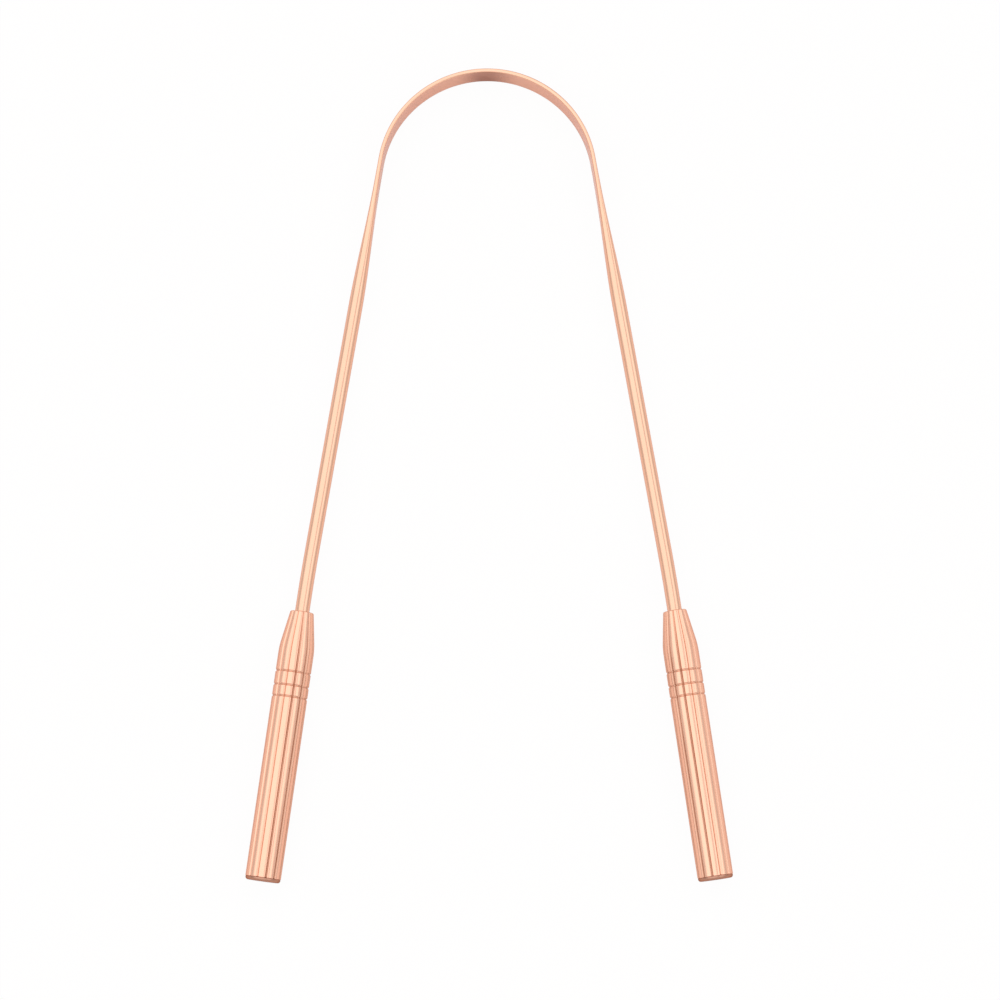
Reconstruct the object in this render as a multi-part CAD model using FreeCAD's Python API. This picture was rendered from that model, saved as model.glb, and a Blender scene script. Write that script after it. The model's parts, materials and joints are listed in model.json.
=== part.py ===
import FreeCAD, Part
import math
import os

# Tongue scraper. One round copper wire is rolled flat over its middle and bent into a springy U: the flat
# band of the arch scrapes, and the round legs carry it. Each leg ends in a grip: a reeded tube whose nose is
# swaged down onto the wire, which is crimped by three rolled rings onto a bush on the wire's tail, and whose
# rear is closed by a plug.
#
# The scraper lies on its grips. +Z is up from the surface, +Y runs towards the arch and +X to the right.
# The origin is on the surface, under the middle of the outline. Sizes are in millimetres and degrees.

# Whole scraper, from the top of the arch to the lowest point of the plugs.
OVERALL_LENGTH = 120.0

# Wire and the band that is rolled from it.
WIRE_DIAMETER = 2.1
BAND_THICKNESS = 0.6
BAND_WIDTH = 5.1
BAND_EDGE_BEVEL = 0.16
ARCH_INNER_RADIUS = 15.65
BAND_STRAIGHT = 0.4
ROLL_TAPER_LENGTH = 22.2
LEG_ANGLE = 9.7
LEG_BEND_RADIUS = 300.0

# Grip sleeve: reeded tube with a swaged nose. Distances run from the nose tip towards the rear.
GRIP_ANGLE = 8.0
SLEEVE_LENGTH = 38.75
SLEEVE_DIAMETER = 5.15
SLEEVE_WALL = 0.6
NOSE_LENGTH = 5.3
NOSE_TIP_WALL = 0.65
NOSE_TIP_BEVEL = 0.2
SHOULDER_BLEND = 1.0
SWAGED_LAND = 1.8
INNER_TAPER_LENGTH = 4.6

# Reeds along the sleeve, and the grooves between them.
REED_COUNT = 12
REED_CROWN = 0.03
REED_GROOVE_WIDTH = 0.34
REED_GROOVE_DEPTH = 0.26
REED_TURN = 13.6

# Rolled crimp rings: the first one, and the bands from each ring to the next.
FIRST_RING = 8.9
RING_BANDS = (2.0, 1.65)
RING_WIDTH = 0.4
RING_DEPTH = 0.13

# Bush that the rings bite, the wire's tail behind it, and the rear plug.
BUSH_OVERHANG = 1.3
TAIL_OVERHANG = 0.8
PLUG_STEM_LENGTH = 3.5
PLUG_STEM_BEVEL = 0.3
PLUG_HEAD_THICKNESS = 0.5
PLUG_HEAD_INSET = 0.05
PLUG_HEAD_BEVEL = 0.35

# How finely the changing sections are stepped, and how far a cutting tool reaches past what it cuts.
TAPER_STEPS = 8
SHOULDER_STEPS = 2
CUT_REACH = 1.0

# Sizes worked out from the ones above.
WIRE_RADIUS = WIRE_DIAMETER / 2
SLEEVE_RADIUS = SLEEVE_DIAMETER / 2
BORE_RADIUS = SLEEVE_RADIUS - SLEEVE_WALL
NOSE_TIP_RADIUS = WIRE_RADIUS + NOSE_TIP_WALL
PLUG_HEAD_RADIUS = SLEEVE_RADIUS - PLUG_HEAD_INSET
ARCH_OUTER_RADIUS = ARCH_INNER_RADIUS + BAND_THICKNESS
ARCH_MIDDLE_RADIUS = ARCH_INNER_RADIUS + BAND_THICKNESS / 2
RINGS = [FIRST_RING + sum(RING_BANDS[:count]) for count in range(len(RING_BANDS) + 1)]
BUSH_FRONT = RINGS[0] - BUSH_OVERHANG
BUSH_REAR = RINGS[-1] + BUSH_OVERHANG
TAIL_LENGTH = BUSH_REAR + TAIL_OVERHANG
AXIS_HEIGHT = SLEEVE_RADIUS
BEND_SIDE = 1 if LEG_ANGLE >= GRIP_ANGLE else -1

X_AXIS = FreeCAD.Vector(1, 0, 0)
Z_AXIS = FreeCAD.Vector(0, 0, 1)


def between(start, end, share):
    """The value that lies at a share of the way from start to end."""
    return start + (end - start) * share


def ease(share):
    """Share of a change that starts and ends gently."""
    return share * share * (3 - 2 * share)


def downwards(angle):
    """Direction of a right-hand leg that leans outwards by an angle from -Y."""
    lean = math.radians(angle)
    return FreeCAD.Vector(math.sin(lean), -math.cos(lean), 0)


def outwards(angle):
    """Direction square to that leg, on its outer side."""
    lean = math.radians(angle)
    return FreeCAD.Vector(math.cos(lean), math.sin(lean), 0)


class Route:
    """Points of the right-hand leg's centre line, from the arch to the nose of its grip."""

    def __init__(self):
        self.arch_centre = FreeCAD.Vector(0, OVERALL_LENGTH / 2 - ARCH_OUTER_RADIUS, AXIS_HEIGHT)
        self.arch_end = self.arch_centre + outwards(LEG_ANGLE) * ARCH_MIDDLE_RADIUS
        self.flat_end = self.arch_end + downwards(LEG_ANGLE) * BAND_STRAIGHT
        self.round_start = self.flat_end + downwards(LEG_ANGLE) * ROLL_TAPER_LENGTH
        self.bend_start = self.round_start + downwards(LEG_ANGLE) * self.round_length()
        self.bend_centre = self.bend_start - outwards(LEG_ANGLE) * (BEND_SIDE * LEG_BEND_RADIUS)
        self.nose_tip = self.bend_centre + outwards(GRIP_ANGLE) * (BEND_SIDE * LEG_BEND_RADIUS)

    def round_length(self):
        """Straight round run of the leg that gives the scraper its overall length."""
        lean = math.radians(GRIP_ANGLE)
        grip_reach = (SLEEVE_LENGTH + PLUG_HEAD_THICKNESS) * math.cos(lean)
        rim_reach = (PLUG_HEAD_RADIUS - PLUG_HEAD_BEVEL) * math.sin(lean)
        bend_reach = LEG_BEND_RADIUS * abs(math.sin(math.radians(LEG_ANGLE)) - math.sin(lean))
        bend_start_y = -OVERALL_LENGTH / 2 + rim_reach + grip_reach + bend_reach
        return (self.round_start.y - bend_start_y) / math.cos(math.radians(LEG_ANGLE))


def rolled_section(centre, roll):
    """Outline of the wire, square to the leg: round at a roll of 0, and the flat band at a roll of 1.

    Rolling thins the wire and spreads it along Z. Its faces and edges flatten, and bevels stay between them.
    """
    thickness = between(WIRE_DIAMETER, BAND_THICKNESS, roll)
    spread = math.log(BAND_WIDTH / WIRE_DIAMETER) / math.log(WIRE_DIAMETER / BAND_THICKNESS)
    width = WIRE_DIAMETER * (WIRE_DIAMETER / thickness) ** spread
    face, edge = thickness / 2, width / 2
    flat_quarter = [
        (face, 0),
        (face, edge - BAND_EDGE_BEVEL),
        (face - BAND_EDGE_BEVEL / 2, edge - BAND_EDGE_BEVEL / 2),
        (face - BAND_EDGE_BEVEL, edge),
        (0, edge),
    ]
    quarter = []
    for index, (out, up) in enumerate(flat_quarter):
        angle = index * math.pi / 8
        round_out, round_up = face * math.cos(angle), edge * math.sin(angle)
        quarter.append((between(round_out, out, roll), between(round_up, up, roll)))
    upper = quarter + [(-out, up) for out, up in reversed(quarter[1:-1])]
    lower = [(-out, -up) for out, up in upper]
    outline = [centre + outwards(LEG_ANGLE) * out + Z_AXIS * up for out, up in upper + lower]
    outline.extend(outline[:2])
    curves = []
    for start, middle, end in zip(outline[1::2], outline[2::2], outline[3::2]):
        curves.append(Part.LineSegment(start, end) if roll == 1 else Part.Arc(start, middle, end))
    return Part.Wire([curve.toShape() for curve in curves])


def wire_disc(centre, angle):
    """Round section of the wire, square to a right-hand leg at that angle."""
    circle = Part.Circle(centre, downwards(angle), WIRE_RADIUS)
    return Part.Face(Part.Wire(circle.toShape()))


def right_leg(route):
    """Flat run, rolled taper, round leg, tail and gentle bend of the right-hand side."""
    along = downwards(LEG_ANGLE)
    steps = [step / TAPER_STEPS for step in range(TAPER_STEPS + 1)]
    sections = [
        rolled_section(route.flat_end + along * (ROLL_TAPER_LENGTH * step), 1 - ease(step)) for step in steps
    ]
    flat = Part.Face(rolled_section(route.arch_end, 1)).extrude(along * BAND_STRAIGHT)
    taper = Part.makeLoft(sections, True, True)
    straight = wire_disc(route.round_start, LEG_ANGLE).extrude(along * route.round_length())
    tail = wire_disc(route.nose_tip, GRIP_ANGLE).extrude(downwards(GRIP_ANGLE) * TAIL_LENGTH)
    runs = [flat, taper, straight, tail]
    turn = GRIP_ANGLE - LEG_ANGLE
    if turn:
        runs.append(wire_disc(route.bend_start, LEG_ANGLE).revolve(route.bend_centre, Z_AXIS, turn))
    return runs


def scraper_band(route):
    """The whole wire in one piece: arch, both legs and the tails inside the grips."""
    sweep = 180 - 2 * LEG_ANGLE
    arch = Part.Face(rolled_section(route.arch_end, 1)).revolve(route.arch_centre, Z_AXIS, sweep)
    right = right_leg(route)
    left = [run.mirror(FreeCAD.Vector(), X_AXIS) for run in right]
    return arch.fuse(right + left).removeSplitter()


def reeded_section(distance, radius, turn):
    """Outline of the reeded tube at a distance from the nose tip. The reeds narrow with the tube."""
    scale = radius / SLEEVE_RADIUS
    pitch = 2 * math.pi / REED_COUNT
    half_crest = pitch / 2 - REED_GROOVE_WIDTH / 2 / SLEEVE_RADIUS

    def point(depth, angle):
        reach = scale * (SLEEVE_RADIUS - depth)
        return FreeCAD.Vector(distance, reach * math.sin(angle), reach * math.cos(angle))

    edges = []
    for reed in range(REED_COUNT):
        crest = math.radians(turn) + (reed + 0.5) * pitch
        start = point(REED_CROWN, crest - half_crest)
        end = point(REED_CROWN, crest + half_crest)
        valley = point(REED_GROOVE_DEPTH, crest + pitch / 2)
        following = point(REED_CROWN, crest + pitch - half_crest)
        edges.append(Part.Arc(start, point(0, crest), end).toShape())
        edges.append(Part.LineSegment(end, valley).toShape())
        edges.append(Part.LineSegment(valley, following).toShape())
    return Part.Wire(edges)


def rolled_rings(radius):
    """Distance and radius at the corners of the rolled rings, as they dent a surface of that radius.

    Rolling moves the whole wall, so the sleeve's reeds, its bore and the bush inside share these dents.
    """
    corners = []
    for ring in RINGS:
        corners.append((ring - RING_WIDTH / 2, radius))
        corners.append((ring, radius - RING_DEPTH))
        corners.append((ring + RING_WIDTH / 2, radius))
    return corners


def sleeve_profile():
    """Distance and crest radius at each station of the sleeve, from the nose tip to the rear."""
    slope = (SLEEVE_RADIUS - NOSE_TIP_RADIUS) / NOSE_LENGTH
    bevel_radius = NOSE_TIP_RADIUS + slope * NOSE_TIP_BEVEL
    stations = [
        (0, bevel_radius - NOSE_TIP_BEVEL),
        (NOSE_TIP_BEVEL, bevel_radius),
        (NOSE_LENGTH / 2, between(NOSE_TIP_RADIUS, SLEEVE_RADIUS, 0.5)),
    ]
    for step in range(SHOULDER_STEPS + 1):
        share = step / SHOULDER_STEPS
        drop = slope * SHOULDER_BLEND * (1 - share) ** 2
        stations.append((NOSE_LENGTH + SHOULDER_BLEND * (2 * share - 1), SLEEVE_RADIUS - drop))
    stations.extend(rolled_rings(SLEEVE_RADIUS))
    stations.append((SLEEVE_LENGTH, SLEEVE_RADIUS))
    return stations


def turned(profile):
    """Solid of revolution about the grip's axis, from (distance, radius) corners."""
    corners = [FreeCAD.Vector(distance, 0, radius) for distance, radius in profile]
    outline = Part.makePolygon(corners + corners[:1])
    return Part.Face(outline).revolve(FreeCAD.Vector(), X_AXIS, 360)


def grip_sleeve(turn):
    """Reeded tube with its swaged nose and rolled rings, and the bore that the rings bulge into."""
    outside = Part.makeLoft([reeded_section(*station, turn) for station in sleeve_profile()], True, True)
    bore = turned([
        (-CUT_REACH, 0),
        (-CUT_REACH, WIRE_RADIUS),
        (SWAGED_LAND, WIRE_RADIUS),
        (SWAGED_LAND + INNER_TAPER_LENGTH, BORE_RADIUS),
        *rolled_rings(BORE_RADIUS),
        (SLEEVE_LENGTH + CUT_REACH, BORE_RADIUS),
        (SLEEVE_LENGTH + CUT_REACH, 0),
    ])
    return outside.cut(bore)


def crimp_bush():
    """Bush on the wire's tail, dented where the rings bite it."""
    return turned([
        (BUSH_FRONT, WIRE_RADIUS),
        (BUSH_FRONT, BORE_RADIUS),
        *rolled_rings(BORE_RADIUS),
        (BUSH_REAR, BORE_RADIUS),
        (BUSH_REAR, WIRE_RADIUS),
    ])


def end_plug():
    """Plug pressed into the sleeve's rear: a stem, and a head that covers the end of the tube."""
    front = SLEEVE_LENGTH - PLUG_STEM_LENGTH
    rear = SLEEVE_LENGTH + PLUG_HEAD_THICKNESS
    return turned([
        (front, 0),
        (front, BORE_RADIUS - PLUG_STEM_BEVEL),
        (front + PLUG_STEM_BEVEL, BORE_RADIUS),
        (SLEEVE_LENGTH, BORE_RADIUS),
        (SLEEVE_LENGTH, PLUG_HEAD_RADIUS),
        (rear - PLUG_HEAD_BEVEL, PLUG_HEAD_RADIUS),
        (rear, PLUG_HEAD_RADIUS - PLUG_HEAD_BEVEL),
        (rear, 0),
    ])


def placed(shape, route, side):
    """A grip piece, set on the right-hand (1) or left-hand (-1) leg."""
    tip = FreeCAD.Vector(side * route.nose_tip.x, route.nose_tip.y, route.nose_tip.z)
    heading = FreeCAD.Rotation(Z_AXIS, side * GRIP_ANGLE - 90)
    piece = shape.copy()
    piece.Placement = FreeCAD.Placement(tip, heading)
    return piece


def scraper():
    """Every piece by its name."""
    route = Route()
    pieces = {"scraper_band": scraper_band(route)}
    for name, side in (("left", -1), ("right", 1)):
        pieces[f"{name}_grip_sleeve"] = placed(grip_sleeve(-side * REED_TURN), route, side)
        pieces[f"{name}_crimp_bush"] = placed(crimp_bush(), route, side)
        pieces[f"{name}_end_plug"] = placed(end_plug(), route, side)
    return pieces


os.makedirs("parts", exist_ok=True)
for node, piece in scraper().items():
    piece.exportStep(f"parts/{node}.step")
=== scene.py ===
"""Looks of a copper tongue scraper: its polished wire, reeded grips and end plugs, in a white studio.

Lengths are in millimetres and angles in degrees where no other unit is named. Finished meshes are in
metres.
"""

import json
import logging
import math
from dataclasses import dataclass, field
from enum import Enum
from typing import Any, Iterator, Sequence, Union

import bmesh
import bpy
from mathutils import Euler, Matrix, Vector


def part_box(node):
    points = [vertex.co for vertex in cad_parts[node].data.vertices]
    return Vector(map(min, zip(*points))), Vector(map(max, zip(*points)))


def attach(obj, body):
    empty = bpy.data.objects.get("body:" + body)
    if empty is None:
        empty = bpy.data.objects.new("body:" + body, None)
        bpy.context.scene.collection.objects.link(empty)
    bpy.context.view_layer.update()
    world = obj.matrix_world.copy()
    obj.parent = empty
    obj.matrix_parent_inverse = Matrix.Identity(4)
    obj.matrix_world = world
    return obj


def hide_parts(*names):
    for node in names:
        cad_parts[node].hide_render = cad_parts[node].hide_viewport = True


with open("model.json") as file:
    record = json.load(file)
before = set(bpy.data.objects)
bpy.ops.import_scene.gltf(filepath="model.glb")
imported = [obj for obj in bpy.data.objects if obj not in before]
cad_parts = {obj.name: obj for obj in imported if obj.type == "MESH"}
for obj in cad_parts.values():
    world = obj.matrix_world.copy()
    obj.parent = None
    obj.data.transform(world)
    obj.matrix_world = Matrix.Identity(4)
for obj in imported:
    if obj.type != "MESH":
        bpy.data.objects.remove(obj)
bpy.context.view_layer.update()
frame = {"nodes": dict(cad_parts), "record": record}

METRES = 0.001
WIRE_DIAMETER = 2.1
WELD = 1e-4
SEAM = 1e-3
GRAIN = "grain"
# Mesh attribute that masks painted darkness: painted shade in the grips' grooves and ring dents, and a
# painted dark reflection inside the arch.
PAINTED_DARK = "hollow"
NOISE_MEAN = 0.5

log = logging.getLogger("tongue_scraper")

Triple = tuple[float, float, float]
Colour = Triple
Point = tuple[float, float]
Ring = list[bmesh.types.BMEdge]


class Side(Enum):
    """The two legs, each by the sign of X on its side."""

    LEFT = -1
    RIGHT = 1

    @property
    def label(self) -> str:
        """The side's name as it starts the names of its pieces."""
        return self.name.lower()


class GrainSource(Enum):
    """Where a finish reads the direction of its draw lines."""

    ATTRIBUTE = "the piece's own attribute, which runs along the drawn wire or tube"
    OBJECT = "the object's coordinates, in metres"


def between(start: float, end: float, share: float) -> float:
    """The value that lies at a share of the way from start to end."""
    return start + (end - start) * share


def ease(share: float) -> float:
    """Share of a change that starts and ends gently."""
    return share * share * (3 - 2 * share)


def steps(count: int) -> list[float]:
    """Shares from 0 to 1 in an even count of steps."""
    return [step / count for step in range(count + 1)]


def quarter_round(radius: float, count: int) -> list[Point]:
    """Rise and run of a quarter circle, from its start on the run's axis, in an even count of steps."""
    turns = [share * math.pi / 2 for share in steps(count)]
    return [(radius * math.sin(turn), radius * math.cos(turn)) for turn in turns]


def dent(offset: float, half_width: float) -> float:
    """Share of a rounded dent's depth at an offset from its middle."""
    if abs(offset) >= half_width:
        return 0.0
    return (1 + math.cos(math.pi * offset / half_width)) / 2


class Workpiece:
    """A mesh in millimetres while it is being shaped, with the operators that shape it."""

    def __init__(self, name: str) -> None:
        """Starts an empty mesh.

        Args:
            name: The finished piece's name.
        """
        self.name = name
        self.mesh = bmesh.new()
        self.order = self.mesh.verts.layers.int.new("order")
        self.grain = self.mesh.verts.layers.float_vector.new(GRAIN)
        # Mask of painted shade and painted dark reflection.
        self.hollow = self.mesh.verts.layers.float.new(PAINTED_DARK)

    def ring(self, points: Sequence[Vector]) -> Ring:
        """Starts a closed ring of edges.

        Args:
            points: Its corners in order.

        Returns:
            The ring's edges.
        """
        made = bmesh.ops.create_circle(self.mesh, segments=len(points), radius=1.0)
        for index, vert in enumerate(made["verts"]):
            vert[self.order] = index
            vert.co = points[index]
        return list({edge for vert in made["verts"] for edge in vert.link_edges})

    def draw(self, ring: Ring, points: Sequence[Vector]) -> Ring:
        """Extrudes a ring of edges to new corners.

        Args:
            ring: The edges to draw out.
            points: Where the ring's corners go, in the ring's own order.

        Returns:
            The edges of the new ring.
        """
        made = bmesh.ops.extrude_edge_only(self.mesh, edges=ring)["geom"]
        fresh = {item for item in made if isinstance(item, bmesh.types.BMVert)}
        for vert in fresh:
            vert.co = points[vert[self.order]]
        edges = [item for item in made if isinstance(item, bmesh.types.BMEdge)]
        return [edge for edge in edges if fresh.issuperset(edge.verts)]

    def close(self, ring: Ring) -> None:
        """Fills a ring with one face."""
        bmesh.ops.contextual_create(self.mesh, geom=ring)

    def join(self, first: Ring, second: Ring) -> None:
        """Joins two rings with faces."""
        bmesh.ops.bridge_loops(self.mesh, edges=first + second)

    def finished(self, place: Matrix) -> bpy.types.Object:
        """Merges doubles, turns the faces outwards and makes the piece's object.

        Args:
            place: Where the piece goes in the scraper's frame, in millimetres.

        Returns:
            The object, at the origin, with its place in its mesh.
        """
        bmesh.ops.remove_doubles(self.mesh, verts=self.mesh.verts, dist=WELD)
        bmesh.ops.recalc_face_normals(self.mesh, faces=self.mesh.faces)
        bmesh.ops.transform(self.mesh, matrix=Matrix.Scale(METRES, 4) @ place, verts=self.mesh.verts)
        for face in self.mesh.faces:
            face.smooth = True
        self.mesh.verts.layers.int.remove(self.order)
        data = bpy.data.meshes.new(self.name)
        self.mesh.to_mesh(data)
        self.mesh.free()
        piece = bpy.data.objects.new(self.name, data)
        bpy.context.scene.collection.objects.link(piece)
        return piece


class Value:
    """A number that varies over a surface. Python operators on it add Math nodes to its graph."""

    def __init__(self, graph: "Graph", socket: bpy.types.NodeSocket) -> None:
        """Wraps an output socket of a graph."""
        self.graph = graph
        self.socket = socket

    def _math(self, operation: str, first: "Number", second: "Number") -> "Value":
        """Adds one Math node."""
        node = self.graph.node("ShaderNodeMath", {"operation": operation}, {0: first, 1: second})
        return Value(self.graph, node.outputs[0])

    def __add__(self, other: "Number") -> "Value":
        """self + other"""
        return self._math("ADD", self, other)

    def __radd__(self, other: "Number") -> "Value":
        """other + self"""
        return self._math("ADD", other, self)

    def __sub__(self, other: "Number") -> "Value":
        """self - other"""
        return self._math("SUBTRACT", self, other)

    def __rsub__(self, other: "Number") -> "Value":
        """other - self"""
        return self._math("SUBTRACT", other, self)

    def __mul__(self, other: "Number") -> "Value":
        """self * other"""
        return self._math("MULTIPLY", self, other)

    def __rmul__(self, other: "Number") -> "Value":
        """other * self"""
        return self._math("MULTIPLY", other, self)

    def highest(self, other: "Number") -> "Value":
        """The larger of the two."""
        return self._math("MAXIMUM", self, other)


Number = Union[Value, float]


class Graph:
    """The nodes of one material or world."""

    def __init__(self, owner: Union[bpy.types.Material, bpy.types.World]) -> None:
        """Empties the owner's node tree.

        Args:
            owner: The material or world that the nodes belong to.
        """
        owner.use_nodes = True
        self.tree = owner.node_tree
        self.tree.nodes.clear()

    def node(self, kind: str, settings: dict[str, Any], sockets: dict[Any, Any]) -> bpy.types.Node:
        """Adds a node.

        Args:
            kind: The node's type.
            settings: Its properties, which are set first.
            sockets: Values or links of its inputs, by name or index.

        Returns:
            The new node.
        """
        made = self.tree.nodes.new(kind)
        for name, setting in settings.items():
            setattr(made, name, setting)
        for key, value in sockets.items():
            if isinstance(value, Value):
                value = value.socket
            if isinstance(value, bpy.types.NodeSocket):
                self.tree.links.new(value, made.inputs[key])
            else:
                made.inputs[key].default_value = value
        return made

    def value(self, kind: str, output: str, settings: dict[str, Any], sockets: dict[Any, Any]) -> Value:
        """Adds a node and wraps one of its outputs as a value."""
        return Value(self, self.node(kind, settings, sockets).outputs[output])

    def mixed(self, share: Number, first: Any, second: Any) -> bpy.types.NodeSocket:
        """Mixes two colours.

        Args:
            share: How much of the second colour shows.
            first: A colour, or the socket of one.
            second: A colour, or the socket of one.

        Returns:
            The mixed colour's socket.
        """
        inputs: dict[int, Any] = {0: share}
        for index, colour in ((6, first), (7, second)):
            inputs[index] = colour if isinstance(colour, bpy.types.NodeSocket) else (*colour, 1.0)
        return self.node("ShaderNodeMix", {"data_type": "RGBA"}, inputs).outputs[2]


@dataclass(frozen=True)
class CopperFinish:
    """Polished copper with marks of drawing or turning along its grain, and painted darkness where its
    mask attribute is set: painted shade in its hollows and a painted dark reflection.
    """

    name: str
    slot: str
    tone: Colour
    blush: Colour
    # Colour of the painted shade and the painted dark reflection.
    tarnish: Colour
    edge_tint: Colour
    roughness: float
    line_bump: float
    wave_bump: float = 0.22
    line_height: float = 0.01
    wave_height: float = 0.1
    source: GrainSource = GrainSource.ATTRIBUTE
    fine_lines: Triple = (7.0, 7.0, 0.12)
    fine_detail: float = 3.0
    broad_lines: Triple = (1.1, 1.1, 0.05)
    broad_detail: float = 2.0
    clouds: Triple = (0.16, 0.16, 0.16)
    cloud_detail: float = 4.0
    fine_share: float = 0.35
    cloud_share: float = 0.3
    blush_cut: float = 0.1
    # How much of the painted darkness shows at the least, and how much the clouds add to it.
    stain_least: float = 0.55
    stain_clouds: float = 0.6
    line_gloss: float = 0.09
    cloud_gloss: float = 0.06
    # Extra roughness where the painted darkness lies.
    stain_gloss: float = 0.22

    def material(self) -> bpy.types.Material:
        """Makes the finish.

        Returns:
            The material, ready to assign.
        """
        made = bpy.data.materials.new(self.name)
        graph = Graph(made)
        fine = self._noise(graph, self.fine_lines, self.fine_detail)
        broad = self._noise(graph, self.broad_lines, self.broad_detail)
        cloud = self._noise(graph, self.clouds, self.cloud_detail)
        # Painted darkness: the dark colour is mixed in by the mask attribute, as painted shade in the
        # grips' grooves and ring dents and as a painted dark reflection inside the arch.
        hollow = graph.value("ShaderNodeAttribute", "Fac", {"attribute_name": PAINTED_DARK}, {})
        stain = hollow * (self.stain_least + self.stain_clouds * cloud)
        streak = self.fine_share * fine + (1 - self.fine_share) * broad
        blushing = (1 - self.cloud_share) * streak + self.cloud_share * cloud - self.blush_cut
        colour = graph.mixed(stain, graph.mixed(blushing, self.tone, self.blush), self.tarnish)
        gloss = self.roughness + self.line_gloss * (fine - NOISE_MEAN)
        gloss = gloss + self.cloud_gloss * (cloud - NOISE_MEAN) + self.stain_gloss * stain
        wave = graph.node("ShaderNodeBump", {}, {
            "Strength": self.wave_bump, "Distance": self.wave_height * METRES, "Height": broad,
        })
        bump = graph.node("ShaderNodeBump", {}, {
            "Strength": self.line_bump,
            "Distance": self.line_height * METRES,
            "Height": fine,
            "Normal": wave.outputs[0],
        })
        shader = graph.node("ShaderNodeBsdfPrincipled", {}, {
            "Base Color": colour,
            "Metallic": 1.0,
            "Roughness": gloss,
            "Specular Tint": (*self.edge_tint, 1.0),
            "Normal": bump.outputs[0],
        })
        graph.node("ShaderNodeOutputMaterial", {}, {"Surface": shader.outputs[0]})
        return made

    def _noise(self, graph: Graph, scale: Triple, detail: float) -> Value:
        """Noise that is drawn out along the grain.

        Args:
            graph: The material's nodes.
            scale: Waves per millimetre across the grain, across it the other way, and along it.
            detail: How many finer layers the noise has.

        Returns:
            The noise, about NOISE_MEAN on average.
        """
        if self.source is GrainSource.ATTRIBUTE:
            grain = graph.node("ShaderNodeAttribute", {"attribute_name": GRAIN}, {}).outputs["Vector"]
            waves = scale
        else:
            grain = graph.node("ShaderNodeTexCoord", {}, {}).outputs["Object"]
            waves = tuple(wave / METRES for wave in scale)
        drawn = graph.node("ShaderNodeVectorMath", {"operation": "MULTIPLY"}, {0: grain, 1: waves})
        return graph.value("ShaderNodeTexNoise", "Fac", {}, {
            "Vector": drawn.outputs[0], "Scale": 1.0, "Detail": detail,
        })


BAND_COPPER = CopperFinish(
    name="polished_wire_copper",
    slot="band_copper",
    tone=(0.86, 0.54, 0.385),
    blush=(0.83, 0.47, 0.33),
    tarnish=(0.32, 0.13, 0.085),
    edge_tint=(0.98, 0.88, 0.88),
    roughness=0.17,
    line_bump=0.25,
)
GRIP_COPPER = CopperFinish(
    name="polished_reed_copper",
    slot="grip_copper",
    tone=(0.92, 0.56, 0.405),
    blush=(0.90, 0.49, 0.35),
    tarnish=(0.31, 0.125, 0.07),
    edge_tint=(0.80, 0.62, 0.58),
    roughness=0.2,
    line_bump=0.25,
)
# The plug's copper is darker than the sleeves' as painted shade: it stands in for the shaded end of the
# tube.
SHADED_PLUG_COPPER = CopperFinish(
    name="turned_plug_copper",
    slot="plug_copper",
    tone=(0.52, 0.28, 0.20),
    blush=(0.44, 0.215, 0.15),
    tarnish=(0.30, 0.14, 0.09),
    edge_tint=(0.62, 0.43, 0.36),
    roughness=0.3,
    line_bump=0.3,
    fine_lines=(9.0, 9.0, 0.2),
)
BUSH_COPPER = CopperFinish(
    name="plain_bush_copper",
    slot="bush_copper",
    tone=(0.60, 0.30, 0.19),
    blush=(0.50, 0.23, 0.14),
    tarnish=(0.30, 0.12, 0.07),
    edge_tint=(0.5, 0.3, 0.2),
    roughness=0.4,
    line_bump=0.3,
    source=GrainSource.OBJECT,
)


def fit_out(piece: bpy.types.Object, finish: CopperFinish, node: str) -> None:
    """Gives a new piece its finish and its body, and hides the CAD node that it replaces.

    Args:
        piece: The finished piece.
        finish: Its copper.
        node: The CAD node that it replaces.
    """
    piece.data.materials.append(finish.material())
    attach(piece, "root")
    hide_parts(node)


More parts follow.
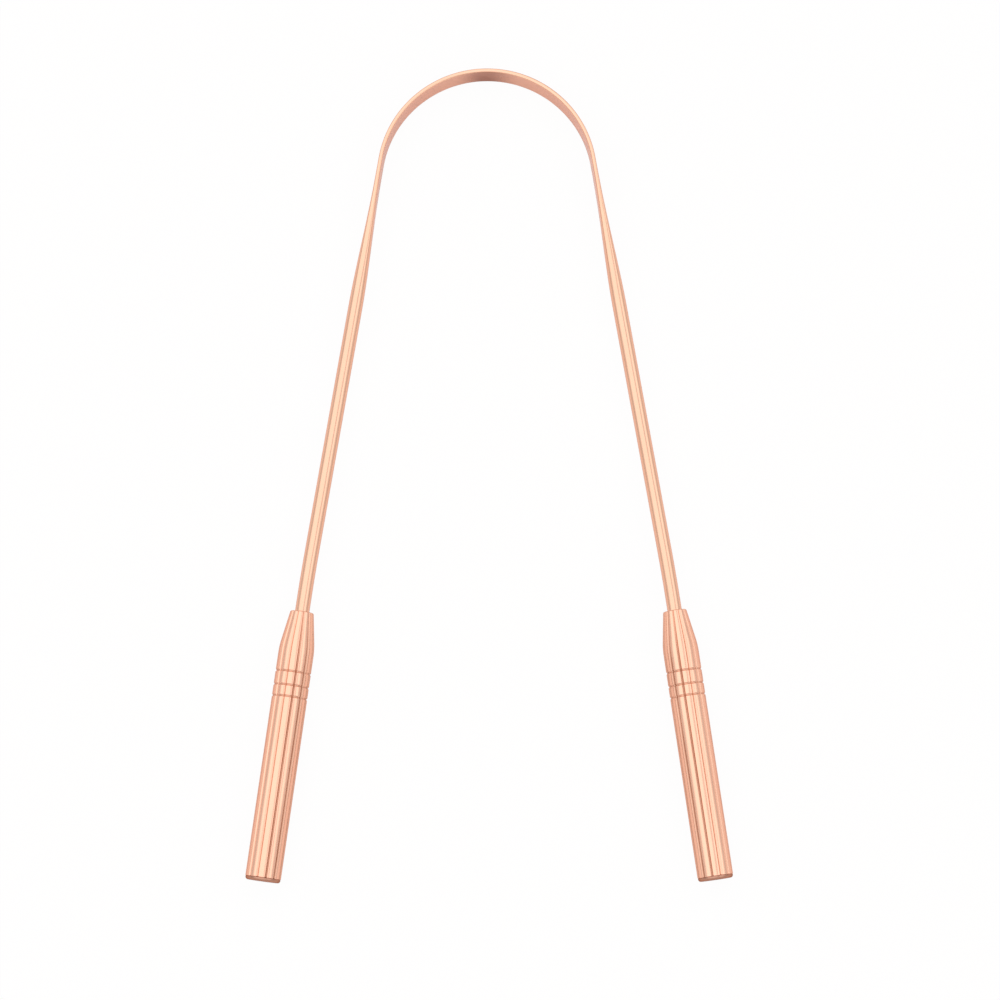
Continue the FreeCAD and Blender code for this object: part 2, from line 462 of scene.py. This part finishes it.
@dataclass
class WireBand:
    """The wire in one piece: rolled flat over the arch, round along the legs, with a tail in each grip."""

    wire_diameter: float = WIRE_DIAMETER
    thickness: float = 0.6
    width: float = 5.1
    edge_radius: float = 0.22
    arch_inner_radius: float = 15.65
    straight: float = 0.4
    taper: float = 22.2
    leg_angle: float = 9.7
    grip_angle: float = 8.0
    bend_radius: float = 300.0
    tail: float = 14.65
    # Painted dark reflection inside the middle of the arch: its strength, its reach along the wire and how
    # closely it keeps to the inner face.
    stain: float = 0.88
    stain_reach: float = 5.4
    stain_hug: int = 3
    face_share: float = 0.8
    rim_share: float = 0.5
    corner_steps: int = 6
    arch_steps: int = 72
    taper_steps: int = 36
    bend_steps: int = 12
    round_steps: int = 8
    finish: CopperFinish = BAND_COPPER
    node: str = "scraper_band"

    def __post_init__(self) -> None:
        """Works out the leg's route from the node's own box and the place of its grip."""
        low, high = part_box(self.node)
        self.height = (low.z + high.z) / 2 / METRES
        self.arch_radius = self.arch_inner_radius + self.thickness / 2
        outer = self.arch_inner_radius + self.thickness
        self.arch_centre = Vector((0, high.y / METRES - outer, self.height))
        self.arch_end = self.arch_centre + self.outwards(self.leg_angle) * self.arch_radius
        self.nose_tip = Grip(Side.RIGHT).tip()
        turn = self.outwards(self.leg_angle) - self.outwards(self.grip_angle)
        self.bend_start = self.nose_tip + turn * self.bend_radius
        self.bend_centre = self.bend_start - self.outwards(self.leg_angle) * self.bend_radius
        self.leg_length = (self.bend_start - self.arch_end).length

    @staticmethod
    def downwards(angle: float) -> Vector:
        """Direction of a right-hand leg that leans outwards by an angle from -Y."""
        lean = math.radians(angle)
        return Vector((math.sin(lean), -math.cos(lean), 0))

    @staticmethod
    def outwards(angle: float) -> Vector:
        """Direction square to that leg, on its outer side."""
        lean = math.radians(angle)
        return Vector((math.cos(lean), math.sin(lean), 0))

    def section(self, roll: float) -> list[Point]:
        """Outline of the wire as (out, up) offsets.

        Args:
            roll: How far the wire is rolled: 0 is round and 1 is the flat band.

        Returns:
            The outline's points, always the same number of them.
        """
        thin = between(self.wire_diameter, self.thickness, roll)
        spread = math.log(self.width / self.wire_diameter) / math.log(self.wire_diameter / self.thickness)
        out, up = thin / 2, self.wire_diameter * (self.wire_diameter / thin) ** spread / 2
        radius = self.edge_radius
        corner = [(out, (up - radius) * self.face_share)]
        for rise, run in quarter_round(radius, self.corner_steps):
            corner.append((out - radius + run, up - radius + rise))
        corner.append(((out - radius) * self.rim_share, up))
        quarter = []
        for index, (flat_out, flat_up) in enumerate(corner):
            angle = (index + 0.5) / len(corner) * math.pi / 2
            quarter.append((
                between(out * math.cos(angle), flat_out, roll),
                between(up * math.sin(angle), flat_up, roll),
            ))
        across = [(-x, y) for x, y in reversed(quarter)]
        upper = quarter + across
        return upper + [(-x, -y) for x, y in upper]

    def points(self, centre: Vector, angle: float, roll: float) -> list[Vector]:
        """The wire's outline, square to a right-hand leg.

        Args:
            centre: A point of the leg's centre line.
            angle: The leg's lean there.
            roll: How far the wire is rolled there.

        Returns:
            The outline's points.
        """
        aside = self.outwards(angle)
        return [centre + aside * out + Vector((0, 0, up)) for out, up in self.section(roll)]

    def stations(self) -> Iterator[tuple[Vector, float, float]]:
        """Centre, lean and roll at each section of the right-hand leg below the arch."""
        along = self.downwards(self.leg_angle)
        yield self.arch_end + along * self.straight / 2, self.leg_angle, 1.0
        for share in steps(self.taper_steps):
            distance = self.straight + self.taper * share
            yield self.arch_end + along * distance, self.leg_angle, 1 - ease(share)
        start = self.straight + self.taper
        for share in steps(self.round_steps)[1:]:
            yield self.arch_end + along * between(start, self.leg_length, share), self.leg_angle, 0.0
        for share in steps(self.bend_steps)[1:]:
            angle = between(self.leg_angle, self.grip_angle, share)
            yield self.bend_centre + self.outwards(angle) * self.bend_radius, angle, 0.0
        yield self.nose_tip + self.downwards(self.grip_angle) * self.tail, self.grip_angle, 0.0

    def along_grain(self, place: Vector) -> Vector:
        """Place of a point in the drawn wire.

        Args:
            place: A point of the piece.

        Returns:
            Its offsets out and up from the centre line, and its distance from the arch's middle.
        """
        side = math.copysign(1, place.x)
        arm = Vector((abs(place.x), place.y, 0)) - Vector((0, self.arch_centre.y, 0))
        turn = math.pi / 2 - math.radians(self.leg_angle)
        angle = math.atan2(arm.x, arm.y)
        if angle <= turn:
            out, along = arm.length - self.arch_radius, angle * self.arch_radius
        else:
            out = arm.dot(self.outwards(self.leg_angle)) - self.arch_radius
            along = turn * self.arch_radius + arm.dot(self.downwards(self.leg_angle))
        return Vector((out, place.z - self.height, side * along))

    def stained(self, grain: Vector) -> float:
        """Share of painted darkness at a place in the drawn wire: a painted dark reflection that sits
        inside the middle of the arch.
        """
        inside = min(max(-2 * grain.x / self.thickness, 0.0), 1.0)
        return self.stain * inside ** self.stain_hug * dent(grain.z, self.stain_reach)

    def build(self) -> bpy.types.Object:
        """Shapes the right half, mirrors it and returns the piece."""
        work = Workpiece("polished_wire")
        start = work.ring(self.points(self.arch_end, self.leg_angle, 1.0))
        corners = list({vert for edge in start for vert in edge.verts})
        bmesh.ops.spin(
            work.mesh, geom=corners + start, cent=self.arch_centre, axis=(0, 0, 1),
            angle=math.pi / 2 - math.radians(self.leg_angle), steps=self.arch_steps,
        )
        ring = start
        for centre, angle, roll in self.stations():
            ring = work.draw(ring, self.points(centre, angle, roll))
        work.close(ring)
        half = work.mesh.verts[:] + work.mesh.edges[:] + work.mesh.faces[:]
        bmesh.ops.mirror(work.mesh, geom=half, axis="X", merge_dist=SEAM)
        # The mask attribute carries the painted dark reflection inside the arch.
        for vert in work.mesh.verts:
            vert[work.grain] = self.along_grain(vert.co)
            vert[work.hollow] = self.stained(vert[work.grain])
        return work.finished(Matrix.Identity(4))

    def dress(self, piece: bpy.types.Object) -> None:
        """Gives the wire its finish and its body, and hides its node."""
        fit_out(piece, self.finish, self.node)


@dataclass
class Reeds:
    """The reeds along a sleeve and the grooves between them."""

    count: int = 12
    crown: float = 0.07
    groove_width: float = 0.46
    groove_depth: float = 0.2
    turn: float = 13.6
    groove_steps: int = 5
    crest_steps: int = 5

    def outline(self, radius: float) -> list[Triple]:
        """One turn round the reeded tube.

        Args:
            radius: The tube's radius at the crests.

        Returns:
            Each point's angle from the first groove, depth below the crests and share of a groove's depth.
        """
        pitch = 2 * math.pi * radius / self.count
        half = self.groove_width / 2
        reach = [half * share for share in steps(self.groove_steps)]
        reach += [between(half, pitch / 2, share) for share in steps(self.crest_steps)[1:]]
        reach += [pitch - offset for offset in reversed(reach[1:-1])]
        points = []
        for reed in range(self.count):
            for offset in reach:
                away = min(offset, pitch - offset)
                share = dent(away, half)
                fall = self.crown * (1 - 2 * away / pitch) ** 2
                depth = fall + (self.groove_depth - self.crown) * share
                points.append(((reed + offset / pitch) * 2 * math.pi / self.count, depth, share))
        return points


@dataclass
class Grip:
    """One grip: the reeded sleeve, swaged at its nose and crimped by rings, and the plug in its rear."""

    side: Side
    length: float = 38.75
    diameter: float = 5.15
    wall: float = 0.6
    wire_diameter: float = WIRE_DIAMETER
    nose_length: float = 5.3
    nose_wall: float = 0.65
    nose_rounding: float = 0.2
    shoulder: float = 1.0
    swaged_land: float = 1.8
    inner_taper: float = 4.6
    first_ring: float = 8.9
    ring_bands: Point = (2.0, 1.65)
    ring_width: float = 0.44
    ring_depth: float = 0.13
    # Painted shade in the ring dents and grooves: darkest in the grooves facing the other grip, least in
    # the outer grooves and lighter on the nose.
    ring_stain: float = 0.4
    middle_stain: float = 0.5
    outer_stain: float = 0.1
    nose_stain: float = 0.4
    rear_rounding: float = 0.10
    plug_stem: float = 3.5
    plug_stem_bevel: float = 0.3
    plug_head: float = 0.5
    plug_inset: float = 0.05
    plug_rounding: float = 0.38
    plug_margin: float = 0.114
    plug_front_rounding: float = 0.06
    plug_crease: float = 50.0
    fit: float = 0.005
    sleeve_grain_start: float = 60.0
    plug_grain_start: float = 20.0
    nose_steps: int = 5
    cone_steps: int = 6
    shoulder_steps: int = 12
    ring_steps: int = 12
    bore_ring_steps: int = 4
    body_steps: int = 10
    edge_steps: int = 3
    plug_steps: int = 8
    turned_steps: int = 128
    reeds: Reeds = field(default_factory=Reeds)
    sleeve_finish: CopperFinish = GRIP_COPPER
    plug_finish: CopperFinish = SHADED_PLUG_COPPER
    bush_finish: CopperFinish = BUSH_COPPER

    def __post_init__(self) -> None:
        """Reads the grip's end and axis from the mount on its plug."""
        mounts = {mount["name"]: mount for mount in frame["record"]["mounts"]}
        mount = mounts[f"{self.side.label}_plug_face"]
        self.end = Vector(mount["pos_m"]) / METRES
        self.axis = Vector(mount["axis"]).normalized()
        self.radius = self.diameter / 2
        self.bore = self.radius - self.wall
        self.wire_radius = self.wire_diameter / 2
        bands = range(len(self.ring_bands) + 1)
        self.rings = [self.first_ring + sum(self.ring_bands[:count]) for count in bands]

    def tip(self) -> Vector:
        """The middle of the nose's front face."""
        return self.end - self.axis * (self.length + self.plug_head)

    def place(self) -> Matrix:
        """Turns the grip's own X along its axis and moves its start to the tip."""
        heading = Matrix.Rotation(math.atan2(self.axis.y, self.axis.x), 4, "Z")
        return Matrix.Translation(self.tip()) @ heading

    def ring_dent(self, ring: float, radius: float, share: float) -> Point:
        """Distance and radius at a share of the way through a rolled ring.

        Args:
            ring: The distance of the ring's middle.
            radius: The radius beside the ring.
            share: 0 is the ring's front and 1 its rear.

        Returns:
            A station of the sleeve.
        """
        offset = between(-1, 1, share) * self.ring_width / 2
        return ring + offset, radius - self.ring_depth * dent(offset, self.ring_width / 2)

    def profile(self) -> list[Point]:
        """Distance from the tip and crest radius at each station of the sleeve's outside."""
        slope = (self.radius - self.wire_radius - self.nose_wall) / self.nose_length
        front = self.wire_radius + self.nose_wall + slope * self.nose_rounding - self.nose_rounding
        stations = [
            (self.nose_rounding - run, front + rise)
            for rise, run in quarter_round(self.nose_rounding, self.nose_steps)
        ]
        cone_end = self.nose_length - self.shoulder
        for share in steps(self.cone_steps)[1:]:
            distance = between(self.nose_rounding, cone_end, share)
            stations.append((distance, self.radius - slope * (self.nose_length - distance)))
        for share in steps(self.shoulder_steps)[1:]:
            drop = slope * self.shoulder * (1 - share) ** 2
            stations.append((cone_end + 2 * self.shoulder * share, self.radius - drop))
        for ring in self.rings:
            for share in steps(self.ring_steps):
                stations.append(self.ring_dent(ring, self.radius, share))
        body_start = self.rings[-1] + self.ring_width / 2
        body_end = self.length - self.rear_rounding
        for share in steps(self.body_steps)[1:]:
            stations.append((between(body_start, body_end, share), self.radius))
        for rise, run in quarter_round(self.rear_rounding, self.edge_steps)[1:]:
            stations.append((body_end + rise, self.radius - self.rear_rounding + run))
        return stations

    def bore_profile(self) -> list[Point]:
        """Distance and radius at each station of the bore, from the rear to the tip."""
        stations = [(self.length, self.bore)]
        for ring in reversed(self.rings):
            for share in reversed(steps(self.bore_ring_steps)):
                stations.append(self.ring_dent(ring, self.bore, share))
        stations.append((self.swaged_land + self.inner_taper, self.bore))
        stations.append((self.swaged_land, self.wire_radius))
        stations.append((0, self.wire_radius))
        return stations

    def tarnished(self, place: Vector, groove: float) -> float:
        """Share of painted shade on the sleeve's outside: in the grooves and ring dents, most in the
        grooves that face the other grip.

        Args:
            place: The point, along the grip's own axes.
            groove: Share of a groove's depth there.

        Returns:
            The share, which is lower on the nose.
        """
        facing = self.middle_stain - self.side.value * place.y / self.radius
        facing = min(max(facing, self.outer_stain), 1.0)
        nose_fade = between(self.nose_stain, 1.0, ease(min(place.x / self.first_ring, 1.0)))
        ring = max(dent(place.x - middle, self.ring_width / 2) for middle in self.rings)
        return max(math.sqrt(groove) * facing * nose_fade, self.ring_stain * ring)

    def build_sleeve(self) -> bpy.types.Object:
        """Draws the reeded outside from tip to rear, and the bore back to the tip.

        Returns:
            The sleeve.
        """
        work = Workpiece(f"{self.side.label}_reeded_sleeve")
        outline = self.reeds.outline(self.radius)
        turn = -self.side.value * math.radians(self.reeds.turn)

        def around(station: Point, reeded: bool) -> list[Vector]:
            """The outline at a station: round, or with reeds that narrow with the tube."""
            distance, radius = station
            points = []
            for angle, depth, _ in outline:
                far = radius * (1 - depth / self.radius) if reeded else radius
                heading = turn + angle
                points.append(Vector((distance, far * math.sin(heading), far * math.cos(heading))))
            return points

        stations = self.profile()
        first = ring = work.ring(around(stations[0], reeded=True))
        for station in stations[1:]:
            ring = work.draw(ring, around(station, reeded=True))
        # Painted shade in the grooves and ring dents goes into the mask attribute.
        for vert in work.mesh.verts:
            vert[work.hollow] = self.tarnished(vert.co, outline[vert[work.order]][2])
        for station in self.bore_profile():
            ring = work.draw(ring, around(station, reeded=False))
        work.join(ring, first)
        for vert in work.mesh.verts:
            along = self.side.value * (vert.co.x + self.sleeve_grain_start)
            vert[work.grain] = Vector((vert.co.y, vert.co.z, along))
        return work.finished(self.place())

    def plug_profile(self) -> list[Point]:
        """Distance and radius at the corners of the plug, from its front to its rear."""
        front = self.length - self.plug_stem
        rear = self.length + self.plug_head
        head = self.radius - self.plug_inset
        stem = self.bore - self.fit
        corners = [
            (front, 0),
            (front, stem - self.plug_stem_bevel),
            (front + self.plug_stem_bevel, stem),
            (self.length, stem),
        ]
        edge = self.plug_front_rounding
        for rise, run in quarter_round(edge, self.edge_steps):
            corners.append((self.length + edge - run, head - edge + rise))
        for rise, run in quarter_round(self.plug_rounding, self.plug_steps):
            corners.append((rear - self.plug_rounding + rise, head - self.plug_rounding + run))
        corners.append((rear, head - self.plug_rounding - self.plug_margin))
        corners.append((rear, 0))
        return corners

    def build_plug(self) -> bpy.types.Object:
        """Spins the plug's profile about the grip's axis.

        Returns:
            The plug.
        """
        work = Workpiece(f"{self.side.label}_turned_plug")
        corners = [work.mesh.verts.new((distance, 0, radius)) for distance, radius in self.plug_profile()]
        edges = [work.mesh.edges.new(pair) for pair in zip(corners, corners[1:])]
        bmesh.ops.spin(
            work.mesh, geom=corners + edges, cent=(0, 0, 0), axis=(1, 0, 0), angle=2 * math.pi,
            steps=self.turned_steps, use_merge=True,
        )
        for vert in work.mesh.verts:
            reach = math.hypot(vert.co.y, vert.co.z)
            along = self.side.value * (vert.co.y + self.plug_grain_start)
            vert[work.grain] = Vector((vert.co.x, reach, along))
        piece = work.finished(self.place())
        piece.data.set_sharp_from_angle(angle=math.radians(self.plug_crease))
        return piece

    def dress(self, sleeve: bpy.types.Object, plug: bpy.types.Object) -> None:
        """Gives the grip's pieces their finishes and bodies, and hides their nodes.

        Args:
            sleeve: The reeded sleeve.
            plug: The plug in its rear.
        """
        fit_out(sleeve, self.sleeve_finish, f"{self.side.label}_grip_sleeve")
        fit_out(plug, self.plug_finish, f"{self.side.label}_end_plug")
        bush = frame["nodes"][f"{self.side.label}_crimp_bush"]
        bush.data.materials.clear()
        bush.data.materials.append(self.bush_finish.material())


@dataclass
class Studio:
    """Pale floor, soft light from above and the camera.

    Lengths here are in metres, and box_power is in watts per metre of a soft box's width.
    """

    floor_size: float = 4.0
    floor_tone: Colour = (0.84, 0.75, 0.72)
    floor_lift: float = 0.96
    floor_gleam: float = 0.15
    zenith: float = 0.92
    horizon: float = 0.68
    dusk: Point = (0.05, 0.55)
    box_reach: float = 1.2
    box_length: float = 2.4
    box_gap: float = 0.28
    gap_shift: float = 0.3
    box_height: float = 0.8
    box_power: float = 3.8
    lens: float = 115.87
    sensor: float = 36.0
    clip_start: float = 0.01
    camera_place: Triple = (0.001742, -0.0751, 0.4677)
    camera_target: Triple = (0.001742, -0.00446, 0.00265)
    camera_roll: float = -0.2

    def lay_floor(self) -> None:
        """Lays the floor: plain and pale, lifted to white where the camera sees it."""
        mesh = bmesh.new()
        bmesh.ops.create_grid(mesh, x_segments=1, y_segments=1, size=self.floor_size / 2)
        data = bpy.data.meshes.new("studio_floor")
        mesh.to_mesh(data)
        mesh.free()
        floor = bpy.data.objects.new("studio_floor", data)
        bpy.context.scene.collection.objects.link(floor)
        material = bpy.data.materials.new("pale_floor")
        graph = Graph(material)
        camera, mirrored = self.rays(graph)
        lift = (camera * self.floor_lift).highest(mirrored * self.floor_gleam)
        plain = graph.node("ShaderNodeBsdfDiffuse", {}, {"Color": (*self.floor_tone, 1.0)})
        white = graph.node("ShaderNodeEmission", {}, {"Color": (1.0, 1.0, 1.0, 1.0), "Strength": 1.0})
        mixed = graph.node("ShaderNodeMixShader", {}, {0: lift, 1: plain.outputs[0], 2: white.outputs[0]})
        graph.node("ShaderNodeOutputMaterial", {}, {"Surface": mixed.outputs[0]})
        data.materials.append(material)

    @staticmethod
    def rays(graph: Graph) -> tuple[Value, Value]:
        """Finds what kind of ray meets a surface.

        Args:
            graph: The nodes to add to.

        Returns:
            Two masks: rays from the camera, and rays by way of metal or glass.
        """
        path = graph.node("ShaderNodeLightPath", {}, {})
        kinds = ("Is Camera Ray", "Is Glossy Ray", "Is Transmission Ray")
        camera, glossy, clear = (Value(graph, path.outputs[kind]) for kind in kinds)
        return camera, glossy.highest(clear)

    def light(self) -> None:
        """Sets the white surroundings, dimmer towards the horizon, and a soft box above each side."""
        world = bpy.data.worlds.new("white_studio")
        bpy.context.scene.world = world
        graph = Graph(world)
        camera, _ = self.rays(graph)
        gaze = graph.node("ShaderNodeTexCoord", {}, {}).outputs["Generated"]
        height = graph.node("ShaderNodeSeparateXYZ", {}, {0: gaze}).outputs["Z"]
        glow = graph.value("ShaderNodeMapRange", "Result", {"interpolation_type": "SMOOTHSTEP"}, {
            "Value": height,
            "From Min": self.dusk[0],
            "From Max": self.dusk[1],
            "To Min": self.horizon,
            "To Max": self.zenith,
        })
        background = graph.node("ShaderNodeBackground", {}, {
            "Color": (1.0, 1.0, 1.0, 1.0), "Strength": glow.highest(camera),
        })
        graph.node("ShaderNodeOutputWorld", {}, {"Surface": background.outputs[0]})
        for side in Side:
            inner = self.gap_shift + side.value * self.box_gap / 2
            outer = side.value * self.box_reach
            lamp = bpy.data.lights.new(f"{side.label}_soft_box", "AREA")
            lamp.shape = "RECTANGLE"
            lamp.size = abs(outer - inner)
            lamp.size_y = self.box_length
            lamp.energy = self.box_power * lamp.size
            box = bpy.data.objects.new(lamp.name, lamp)
            box.location = ((inner + outer) / 2, 0, self.box_height)
            bpy.context.scene.collection.objects.link(box)

    def set_camera(self) -> None:
        """Sets the camera at the viewing angle, above the grips."""
        data = bpy.data.cameras.new("camera")
        data.lens = self.lens
        data.sensor_width = self.sensor
        data.clip_start = self.clip_start
        camera = bpy.data.objects.new("camera", data)
        camera.location = self.camera_place
        gaze = Vector(self.camera_target) - Vector(self.camera_place)
        roll = Euler((0, 0, math.radians(self.camera_roll))).to_quaternion()
        camera.rotation_euler = (gaze.to_track_quat("-Z", "Y") @ roll).to_euler()
        bpy.context.scene.collection.objects.link(camera)
        bpy.context.scene.camera = camera


def report(piece: bpy.types.Object) -> None:
    """Logs a finished piece."""
    data = piece.data
    log.info("%s: %d faces, finish %s", piece.name, len(data.polygons), data.materials[0].name)


def main() -> None:
    """Builds and dresses every piece, then sets up the studio."""
    logging.basicConfig(level=logging.INFO)
    band = WireBand()
    wire = band.build()
    band.dress(wire)
    report(wire)
    for side in Side:
        grip = Grip(side)
        sleeve, plug = grip.build_sleeve(), grip.build_plug()
        grip.dress(sleeve, plug)
        for piece in (sleeve, plug, frame["nodes"][f"{side.label}_crimp_bush"]):
            report(piece)
    studio = Studio()
    studio.lay_floor()
    studio.light()
    studio.set_camera()
    bpy.context.scene.view_settings.view_transform = "Standard"


if __name__ == "__main__":
    main()
